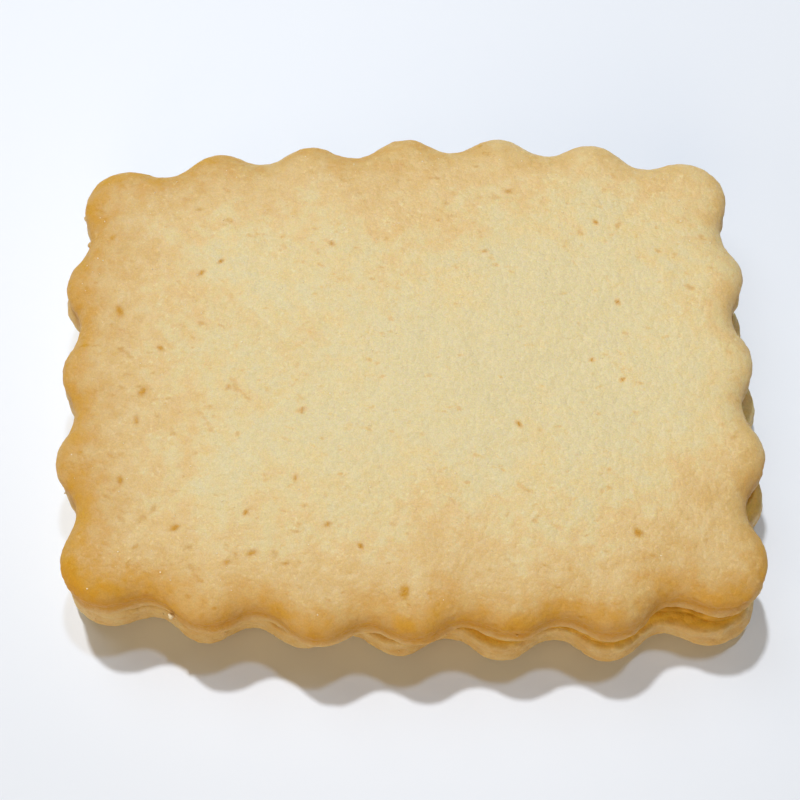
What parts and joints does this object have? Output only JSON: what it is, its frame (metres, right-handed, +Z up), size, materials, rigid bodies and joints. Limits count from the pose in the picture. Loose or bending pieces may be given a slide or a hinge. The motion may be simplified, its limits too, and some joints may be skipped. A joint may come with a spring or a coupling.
{
  "type": "sandwich biscuit",
  "caption": "Rectangular sandwich biscuit: fluted shortbread halves set foot to foot, a little askew, with a thin filling between them.",
  "frame": {"origin": "on the surface the biscuit lies on, under the middle of the whole", "axes": "+X along the long side to the right, +Y towards the back, +Z up through the stack"},
  "size_m": [0.071, 0.055, 0.0113],
  "materials": {
    "baked_crust": "matte",
    "pale_crust": "matte",
    "filling": "satin"
  },
  "bodies": {
    "root": {"upper_biscuit": "baked_crust", "lower_biscuit": "pale_crust", "filling": "filling"}
  },
  "joints": []
}
